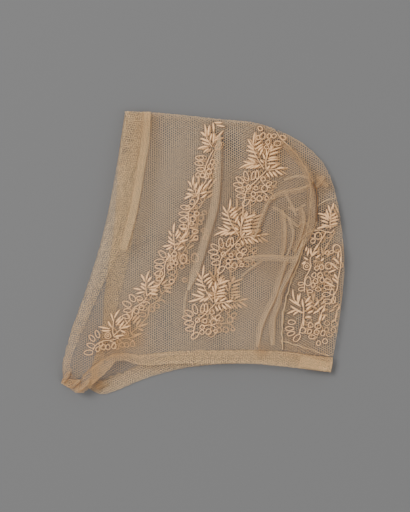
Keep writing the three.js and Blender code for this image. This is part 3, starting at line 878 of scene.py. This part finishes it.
FANS = {
    (264, 169): PLUME,
    (239, 236): PLUME,
    (213, 302): PLUME,
    (212, 147): [
        (-6, -13, -7.5, -23), (-7, -11, -11.5, -15), (-4, -5, -11.5, -8.5), (-3, -2, -10.5, -5),
        (-5, -0.5, -14.5, 2.5), (-3.5, 2, -8.5, 6), (-3.5, -12, -2.5, -22.5), (1.5, -16, 1, -24.5),
        (-1.5, -7, 0, -14), (1, -4, 2, -15), (4, -9.5, 11.5, -17), (3, -6.5, 10.5, -9.5),
        (5, -22, 13, -20), (3, -24.5, 11, -24.5),
    ],
    (198.5, 199.5): [
        (-5.5, -15, -5, -24.5), (-7, -12.5, -11, -18.5), (-5.5, -8, -11, -10.5),
        (-5.5, -4, -12.5, -6.5), (-7.5, -3.5, -14.5, 0), (-2.5, -11.5, -1.5, -17.5),
        (-1.5, -5.5, 1.5, -14.5), (2, -9.5, 4.5, -15.5), (4.5, -10, 9, -16),
        (9.5, -15.5, 14, -20.5), (2, -6, 8.5, -8.5), (2.5, -1.5, 8.5, -5.5),
    ],
    (175, 250): [
        (-1.2, -17.9, 0.3, -27.3), (-3.2, -14.4, -6.5, -19.1), (-2.1, -9.1, -7.4, -14.4),
        (-0.9, -5.5, -7.4, -9.6), (-4.4, -5.2, -12.9, -3.5), (-3.2, -3.8, -9.1, -0.2),
        (-5, 7, -7.4, 2.7), (0.6, -14.4, 3.2, -21.4), (1.5, -11.4, 5.6, -17.3),
        (5.6, -10.8, 12, -18.5), (5, -7.9, 13.2, -10.2), (3, 0, 9.5, -4), (6, -21, 13, -21),
    ],
    (147, 296): [
        (-0.5, -16, 2.7, -25.5), (-2.5, -15, -6.5, -21.5), (-1.5, -10, -6.5, -12.5),
        (-2, -6.5, -7, -10), (-6, -6, -13.5, -7.5), (-3, -4, -11, -2), (1, -14, 5.5, -19.5),
        (1.5, -10, 8, -15), (3.5, -9, 13, -11.5), (3, -6.5, 11.5, -6), (3, -3, 11, -1.5),
    ],
    (113.5, 335.5): [
        (1.5, -18, 6.5, -26), (-0.5, -14.5, -3, -22.5), (-1.5, -8.5, -5.5, -14.5),
        (-4.5, -7, -15.5, -9), (-3.5, -5, -12.5, -4.5), (2.5, -13.5, 7.5, -19.5),
        (3.5, -10.5, 10.5, -17.5), (6, -7.5, 10.5, -14.5), (7.5, -7.5, 17.5, -10.5),
        (7.5, -5, 12.5, -2.5), (1.5, 1.5, 11.5, -0.5),
    ],
    (330, 226): [
        (0.8, -12.8, -2.3, -21.3), (2.7, -17, 4, -23.4), (0.3, -9.7, 6.1, -13.4),
        (-0.5, -7.6, -3.9, -17), (-1.8, -5.5, -5.5, -12.8), (-4.4, -10.2, -12.3, -12.3),
        (-2.3, -6, -9.7, -9.7), (-2.3, -3, -9.2, -5.5), (-1.3, -0.2, -8.6, -1.3),
        (-4, 0.8, -13.4, 3.2), (0.8, -4, 9, -6.5), (1, -1, 8, -2.5), (1.5, -7, 8, -10),
    ],
    (309.5, 260): [
        (-3.9, -9, -2.3, -14.2), (-2.3, -4.7, -0.5, -12.1), (2.4, -4.7, 1.3, -12.1),
        (5, -10.5, 9.2, -16.3), (2.9, -4.2, 8.7, -9), (-1.5, 0, -6, -2.6), (-4, 1.5, -8, 4),
        (11.3, 1, 14.5, -2.6), (6.5, -2, 11.5, -5.5),
    ],
    (303.7, 314): [
        (-9.3, -14.4, -10.9, -25), (-6.5, -9.4, -15.1, -15), (-0.7, -1.5, -13.7, -8.9),
        (-8.1, -3.9, -17, 0.3), (-5.9, -2.2, -10.4, 1.1), (-5.4, -11.1, -5.9, -20),
        (-1.2, -8, -1.7, -15), (1.9, -11.7, 6.9, -18.3), (2.4, -8.3, 8, -12.2),
        (3, -4.4, 7.7, -8.3), (-0.1, 11.5, 0.2, 4), (1.9, 3.3, 8.3, 3.5), (4.3, -1, 9.3, -3),
        (-3.5, -8, -9, -14), (-4.5, -13, -3.5, -21), (10.5, -8, 16, -14), (14, -4, 20, -9),
        (10, -0.5, 16, -3.5),
    ],
    (338, 266): [
        (0.7, -2.3, -5, -8.1), (-0.3, 3, -7.7, -3.9), (-2.4, 3.6, -9.7, 6.3), (0, -8, 0.3, -15.5),
        (3, -4, 3.2, -10), (-0.5, 13, -4, 8), (-3.6, 20.2, -11.9, 15.8), (-0.2, 17.4, -6.3, 11.9),
    ],
    (321, 322): [(1.8, -10.2, 4.6, -14.1), (-1.5, -1, 1, -8.5), (1, -2, 4, -7.5), (-6, 2, -1, -1)],
}

# Loops: place, length, width and lean in degrees. Those of a plume are in pixels from its joint.
PLUME_LOOPS = [
    (-18, 7, 10, 4.5, -12), (-24, 11, 9.5, 4.5, -55), (-26, 16, 9.5, 4.5, -82),
    (-24, 21, 9, 4.5, -92), (-23, 27, 9, 4.5, -95), (-10.5, 6.5, 9, 3.8, 8), (-7, 5.5, 8.5, 3.3, 3),
    (5, 15, 6, 3.8, 60), (-18, 33.5, 9, 5, 50), (0.5, 19.5, 6, 6, 0), (-8, 19, 4, 4, 0),
    (-10.7, 25, 4.5, 4.5, 0), (-4.5, 29.5, 5.5, 5.5, 0), (2.7, 29, 3.7, 3.7, 0),
    (-15.5, 18, 4.5, 4.5, 0), (-1, 10, 4.5, 4.5, 0), (-11, 30, 4.5, 4.5, 0),
]
LOOPS = [
    (260, 128.5, 5, 4, -45), (258, 137.5, 4.5, 4, 0), (262.5, 136, 7, 5, 20), (269, 136, 5, 4, 0),
    (274, 136, 5, 4, 70), (282.5, 137.5, 6, 4, -55), (277.5, 143.5, 7, 5, 80), (268, 142, 5, 4, 30),
    (266.5, 147, 4, 4, 0), (218.5, 146, 9, 4.5, 35), (199.5, 158, 8, 4.5, -85),
    (199, 163.5, 8.5, 4.5, -80), (200.5, 169.5, 8, 4, -88), (198, 175, 4.5, 4.5, 0),
    (202.5, 175.5, 4.5, 4.5, 0), (206.5, 176.5, 4.3, 4.3, 0), (212.5, 162, 4.7, 4.7, 0),
    (210.5, 166.5, 5.5, 5.5, 0), (209, 171.5, 5, 5, 0), (184.4, 207.4, 8, 4.5, -75),
    (183.7, 213.9, 10, 4, -88), (183.5, 220, 8, 5, -90), (183, 226.5, 8, 4, -95),
    (192.4, 201.8, 5, 5, 0), (196.8, 213.6, 5, 4, 90), (192.9, 218.8, 6, 5, 30),
    (191.5, 223.5, 4, 4, 0), (195.3, 231.5, 6, 4, 90), (196, 238, 5, 4, 30), (188, 207.5, 4, 4, 0),
    (187, 217, 4, 4, 0), (162.4, 254, 9, 5, -48), (159.4, 261.4, 10, 4.5, -88),
    (159.1, 267, 8.5, 4, -80), (159, 273.5, 8, 5, -95), (159, 279, 6, 4, -95),
    (169.7, 267.4, 5, 5, 0), (183.5, 259, 9, 7, 0), (171.8, 281.5, 5, 4, 90), (172, 262, 4.5, 4, 0),
    (169, 258, 4.5, 4, 30), (174, 258, 4.5, 4, -20), (176, 263, 4, 4, 0), (174.5, 254, 5, 4, 60),
    (132.5, 298, 8.5, 5, -35), (127, 304, 9.5, 5, -62), (127.5, 310.5, 8, 4, -85),
    (126, 316.5, 8, 4, -88), (139.5, 298.5, 6, 4, -75), (141.5, 307.5, 4.8, 4.8, 0),
    (136.5, 311, 5, 5, 0), (92, 338, 8, 4, -40), (91, 345.5, 8.5, 4.5, -70),
    (88.5, 352.5, 9, 5, -95), (97.5, 334, 8, 4, -25), (103.5, 347, 5, 5, 0), (101, 344, 4, 4, 0),
    (108, 335.5, 6, 6, 0), (108, 335.5, 2.2, 2.2, 0), (98, 349, 5, 4, 30), (108, 347, 5, 4.5, 0),
    (114, 346, 5.5, 4.5, 0), (318.2, 235.8, 7, 7, 0), (312.7, 235.8, 5, 5, 0), (313, 241, 5, 4, 60),
    (308, 281.2, 9, 6, 10), (301, 283.7, 6, 3, 90), (301.7, 289, 6.5, 3.5, 80),
    (306.7, 266.3, 7, 7, 0), (306.7, 266.3, 2.6, 2.6, 0), (328.2, 265.8, 6.5, 6.5, 0),
    (336.8, 248.5, 8, 7.5, 0), (328, 287.5, 8, 4, 95), (326.3, 294.5, 8, 4.5, 85),
    (327.6, 301.3, 8.5, 4.5, 90), (328.5, 281.5, 8, 4.5, 115), (310, 291.3, 5.5, 3, 90),
    (291.8, 322.2, 7.5, 4.5, 95), (289.8, 328.5, 8.5, 4, 90), (291, 333.5, 8, 4, 75),
    (297, 337.8, 9, 5, 50), (302.7, 330.2, 6, 6, 0), (311.9, 336.8, 6.5, 4, 90),
    (317.8, 325.7, 6, 6, 0), (310.5, 325, 5, 5, 0), (309.5, 331.5, 5, 4, 20), (316.5, 332, 5, 5, 0),
    (323, 333, 6, 4, 20), (325, 341, 5, 5, 0), (318.5, 343, 5, 4, 0), (314, 275, 5, 4, 30),
    (315.5, 281, 5, 5, 0), (317, 268, 5, 4, 60), (321.5, 267, 5, 4.5, 0), (313, 285, 5, 4, 0),
    (318, 289, 4.5, 5, 0), (333.5, 300, 7, 4, 20), (332, 292, 6, 4, 10), (322, 280, 5, 4, 20),
    (320, 275, 5, 5, 0), (327, 252.5, 4, 3, 40), (331.5, 252, 4, 3, 60),
]

# Stems and open curls: the pixels that each passes. Those of a plume are in pixels from its joint.
PLUME_STEMS = [
    [(0, 0), (-5.5, -8.5), (-9, -15), (-11, -21), (-11, -26)],
    [(2, 0), (2, -9), (4, -16), (6, -21), (8, -25)],
    [(2, 2), (-4, 8), (-10, 14), (-14, 17), (-18, 23), (-20, 34)],
    [(-2, 13), (3, 18), (7, 19)],
    [(-10, 24), (-2, 23), (3, 26)],
    [(2, 1), (7, 1), (13, 0)],
]
STEMS = [
    [(244, 203), (243, 209), (243, 215)],
    [(219, 270), (218, 276), (218, 281)],
    [(205, 130), (206.5, 138), (212, 147)],
    [(213.5, 150), (210, 156), (207, 163), (205, 170), (206, 180), (200, 190), (198.5, 199.5)],
    [(194, 185), (196, 193), (198.5, 199.5)],
    [(198.5, 199.5), (194, 206), (189, 212), (188.5, 221), (188, 230), (184, 238), (175, 250)],
    [(173.5, 234), (174, 242), (175, 250)],
    [(175, 250), (171, 255), (166, 261), (164.5, 268), (164, 277), (158, 286), (147, 296)],
    [(146, 281), (146, 289), (147, 296)],
    [(147, 297), (143, 302), (137, 306), (133, 309), (132, 317), (124, 326), (113.5, 335.5)],
    [(143, 303), (147, 301.5), (150, 304)],
    [(114, 319), (113, 328), (113.5, 335.5), (119, 338)],
    [(119, 338), (112, 340), (103, 341), (96, 345), (93, 350)],
    [(110, 341), (116, 343)],
    [(331.5, 207), (330.5, 216), (330, 226), (330.5, 229)],
    [(334, 229.5), (331.5, 232.5), (326, 232), (320, 230), (314, 231)],
    [
        (326, 232), (320, 242), (313, 253), (310, 260), (311, 266), (308, 273), (305, 278),
        (304.4, 286),
    ],
    [(304.4, 286), (304.2, 292)],
    [(303.2, 303), (303.7, 314), (302, 324), (299, 334)],
    [
        (333, 250), (333, 246), (336, 244.5), (340, 247), (341, 254), (341, 262), (339.5, 272),
        (338, 279),
    ],
    [(338, 279), (337, 289), (333, 297), (335.5, 303)],
    [(325, 306), (321, 314), (319, 324)],
]
# A thread is run along the panel's edges, in the upper layer only
EDGING_RADIUS = 0.3e-3
EDGING_UP = 0.5e-3
EDGING = [
    [(335.5, 198), (326, 200.5), (320.3, 204), (317.5, 206)],
    [
        (281, 341), (287, 342), (293, 344.5), (299, 345.5), (305, 348), (312, 349.5),
        (318, 352.5), (330, 356),
    ],
]


def turned(x, y, length, width, lean):
    """An oval loop: its pixels in order"""
    lean = math.radians(lean + random.uniform(-LOOP_LEAN, LOOP_LEAN))
    along = Vector((math.sin(lean), -math.cos(lean))) * length / 2
    aside = Vector((math.cos(lean), math.sin(lean))) * width / 2
    ring = []
    for angle in (math.tau * k / LOOP_POINTS for k in range(LOOP_POINTS)):
        narrower = 1 - LOOP_EGG * math.cos(angle)
        ring.append(
            Vector((x, y)) + along * math.cos(angle) + aside * math.sin(angle) * narrower
        )
    return ring


def on_far_layer(x_px, y_px):
    """The place on the lower layer under a pixel"""
    spot = in_plan(x_px, y_px)
    for cloth in (side_net, back_panel):
        place = cloth.middle(FAR, spot.x, spot.y)
        if place is not None:
            return place + Vector((0, 0, CORD))
    return None


def slid(point, share):
    """A pixel moved by a share of the lower layer's slide"""
    return point + FAR_SLIDE * share * (point.y - SLIDE_FROM) / (SLIDE_TO - SLIDE_FROM)


leaves = []
lines = [(turned(*loop), True) for loop in LOOPS]
lines += [(drawn([Vector(point) for point in stem], STEM_STEP), False) for stem in STEMS]
for joint, fan in FANS.items():
    at = Vector(joint)
    for root_x, root_y, tip_x, tip_y in fan:
        sway = Vector((random.uniform(-TIP_SWAY, TIP_SWAY), random.uniform(-TIP_SWAY, TIP_SWAY)))
        root, tip = at + Vector((root_x, root_y)), at + Vector((tip_x, tip_y)) + sway
        leaves.append((root + (root - tip) * LEAF_LONGER, tip))
    if fan is PLUME:
        for dx, dy, length, width, lean in PLUME_LOOPS:
            lines.append((turned(at.x + dx, at.y + dy, length, width, lean), True))
        for stem in PLUME_STEMS:
            lines.append((drawn([at + Vector(point) for point in stem], STEM_STEP), False))

bm = bmesh.new()
bmesh.ops.create_uvsphere(bm, u_segments=LEAF_AROUND, v_segments=LEAF_ALONG, radius=1)
bundle = bpy.data.meshes.new("leaf_bundle")
bm.to_mesh(bundle)
bm.free()
embroidery_cotton = cotton(
    "embroidery_cotton", EMBROIDERY_PALE, BROWN, stain_share=0.5, sides=SIDE_SHADE_COLOR
)
for side_name, place_on, slide in (("near", seen_on_top, 0), ("far", on_far_layer, 1)):
    bm = bmesh.new()
    worked = []
    for root, tip in leaves:
        low, high = place_on(*slid(root, slide)), place_on(*slid(tip, slide))
        if low is None or high is None:
            continue
        worked.append([low.lerp(high, share) for share in (0, 0.25, 0.5, 0.75, 1)])
        ahead = high - low
        aside = Vector((-ahead.y, ahead.x, 0)).normalized()
        bow = random.uniform(-LEAF_BOW, LEAF_BOW) * ahead.length
        half = LEAF_WIDTH * PIXEL / 2 * random.uniform(*LEAF_WIDTHS)
        start = len(bm.verts)
        bm.from_mesh(bundle)
        bm.verts.ensure_lookup_table()
        for v in bm.verts[start:]:
            t = v.co.z
            round_end = 1 - LEAF_TAPER * t * t
            v.co = (
                low
                + ahead * (t + 1) / 2
                + aside * (bow * (1 - t * t) + half * v.co.x * round_end)
                + Vector((0, 0, LEAF_RISE * (LEAF_UP + v.co.y * round_end)))
            )
    finished("leaves_" + side_name, bm, embroidery_cotton)

    threads = []
    for points, closed in lines:
        placed = [place_on(*slid(point, slide)) for point in points]
        if None not in placed:
            threads.append(([place + Vector((0, 0, CORD_UP)) for place in placed], closed))
            worked.append(placed)
    corded("loops_and_stems_" + side_name, threads, CORD, embroidery_cotton)
    # Painted shade round the worked threads, on the near net and on the panel
    if side_name == "near":
        for piece in (nets["near"], panel):
            darken(piece, worked, WORKED_OVER * PIXEL, WORKED_SHADE)
edging = []
for stops in EDGING:
    line = line_on_top(stops)
    edging.append(([place + Vector((0, 0, EDGING_UP)) for place in line], False))
corded("panel_edging", edging, EDGING_RADIUS, hem_cotton)

# The table is plain grey card. It is lit by a large soft lamp from the upper left, a weaker one
# from the lower right and the room.
CARD = (0.141, 0.141, 0.141, 1)
CARD_ROUGHNESS = 0.95
CARD_SHINE = 0.1
TABLE_HALF = 3
UNDER_CAP = 0.3e-3
ROOM_COLOR = (1, 1, 1, 1)
ROOM_LIGHT = 0.837
# Each lamp's name, place, size and watts
LAMPS = (
    ("soft_box", (-2.2, 1.3, 2.7), 1.7, 133),
    ("fill", (2.2, -1.4, 2.6), 2.4, 30),
)
bm = bmesh.new()
bmesh.ops.create_grid(bm, x_segments=8, y_segments=8, size=TABLE_HALF)
bmesh.ops.translate(bm, verts=bm.verts, vec=(0, 0, -UNDER_CAP))
mesh = bpy.data.meshes.new("table")
bm.to_mesh(mesh)
bm.free()
table = bpy.data.objects.new("table", mesh)
bpy.context.collection.objects.link(table)
card = bpy.data.materials.new("grey_card")
card.use_nodes = True
surface = card.node_tree.nodes["Principled BSDF"]
surface.inputs["Base Color"].default_value = CARD
surface.inputs["Roughness"].default_value = CARD_ROUGHNESS
surface.inputs["Specular IOR Level"].default_value = CARD_SHINE
mesh.materials.append(card)

for lamp_name, at, size, power in LAMPS:
    lamp = bpy.data.objects.new(lamp_name, bpy.data.lights.new(lamp_name, "AREA"))
    lamp.data.size = size
    lamp.data.energy = power
    lamp.location = at
    lamp.rotation_mode = "QUATERNION"
    lamp.rotation_quaternion = Vector(at).to_track_quat("Z", "Y")
    bpy.context.collection.objects.link(lamp)
room = bpy.data.worlds.new("room")
room.use_nodes = True
room.node_tree.nodes["Background"].inputs["Color"].default_value = ROOM_COLOR
room.node_tree.nodes["Background"].inputs["Strength"].default_value = ROOM_LIGHT
bpy.context.scene.world = room
